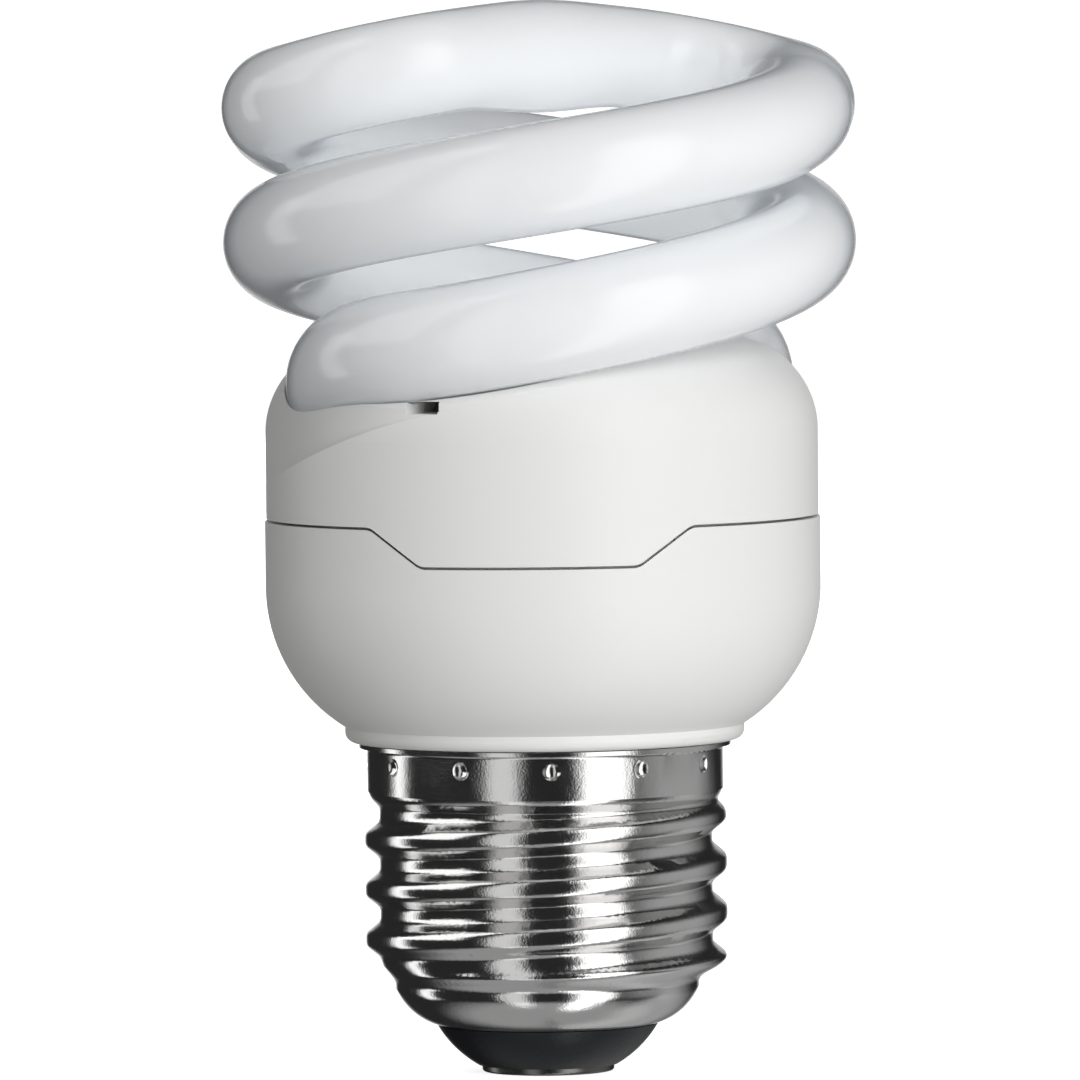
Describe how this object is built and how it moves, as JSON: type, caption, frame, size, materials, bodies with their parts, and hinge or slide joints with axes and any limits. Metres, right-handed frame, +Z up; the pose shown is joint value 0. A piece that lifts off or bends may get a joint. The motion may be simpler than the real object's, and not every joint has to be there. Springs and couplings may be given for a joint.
{
  "type": "spiral energy saving bulb",
  "caption": "Compact fluorescent lamp: a double-helix discharge tube that crosses over at the top, in a round white ballast housing on a screw cap.",
  "frame": {"origin": "on the lamp's axis, in the face of the centre contact, which is the lowest point", "axes": "+Z runs up the axis from the cap to the coil; -Y is the front, in the middle of one of the seam's two tabs"},
  "size_m": [0.0458, 0.0458, 0.0778],
  "materials": {
    "centre_contact": "nickel-plated, dull",
    "cap_insulator": "black pressed glass, opaque",
    "screw_shell": "nickel-plated, satin",
    "lower_housing": "satin white",
    "upper_housing": "satin white",
    "discharge_tube": "clear glass over white phosphor",
    "tube_cement": "silicone cement",
    "filament_leads": "drawn wire",
    "wire_posts": "tinned",
    "smoothing_capacitor": "sleeved can",
    "choke_core": "ferrite",
    "choke_bobbin": "moulded",
    "choke_winding": "enamelled copper",
    "drive_ring_core": "ferrite",
    "drive_windings": "enamelled copper",
    "high_side_transistor": "moulded",
    "low_side_transistor": "moulded",
    "inductor_core": "ferrite",
    "inductor_winding": "enamelled copper",
    "rectifier_diodes": "moulded",
    "base_resistors": "lacquered",
    "trigger_diode": "lacquered",
    "fusible_resistor": "lacquered",
    "contact_lead": "tinned copper",
    "shell_lead": "tinned copper",
    "start_capacitor": "dipped",
    "blocking_capacitor": "dipped",
    "snubber_capacitor": "dipped",
    "circuit_board": "paper laminate"
  },
  "bodies": {
    "root": {"centre_contact": "centre_contact", "cap_insulator": "cap_insulator", "screw_shell": "screw_shell", "lower_housing": "lower_housing", "upper_housing": "upper_housing", "discharge_tube": "discharge_tube", "tube_cement": "tube_cement", "filament_leads": "filament_leads", "wire_posts": "wire_posts", "smoothing_capacitor": "smoothing_capacitor", "choke_core": "choke_core", "choke_bobbin": "choke_bobbin", "choke_winding": "choke_winding", "drive_ring_core": "drive_ring_core", "drive_windings": "drive_windings", "high_side_transistor": "high_side_transistor", "low_side_transistor": "low_side_transistor", "inductor_core": "inductor_core", "inductor_winding": "inductor_winding", "rectifier_diodes": "rectifier_diodes", "base_resistors": "base_resistors", "trigger_diode": "trigger_diode", "fusible_resistor": "fusible_resistor", "contact_lead": "contact_lead", "shell_lead": "shell_lead", "start_capacitor": "start_capacitor", "blocking_capacitor": "blocking_capacitor", "snubber_capacitor": "snubber_capacitor", "circuit_board": "circuit_board"}
  },
  "joints": []
}
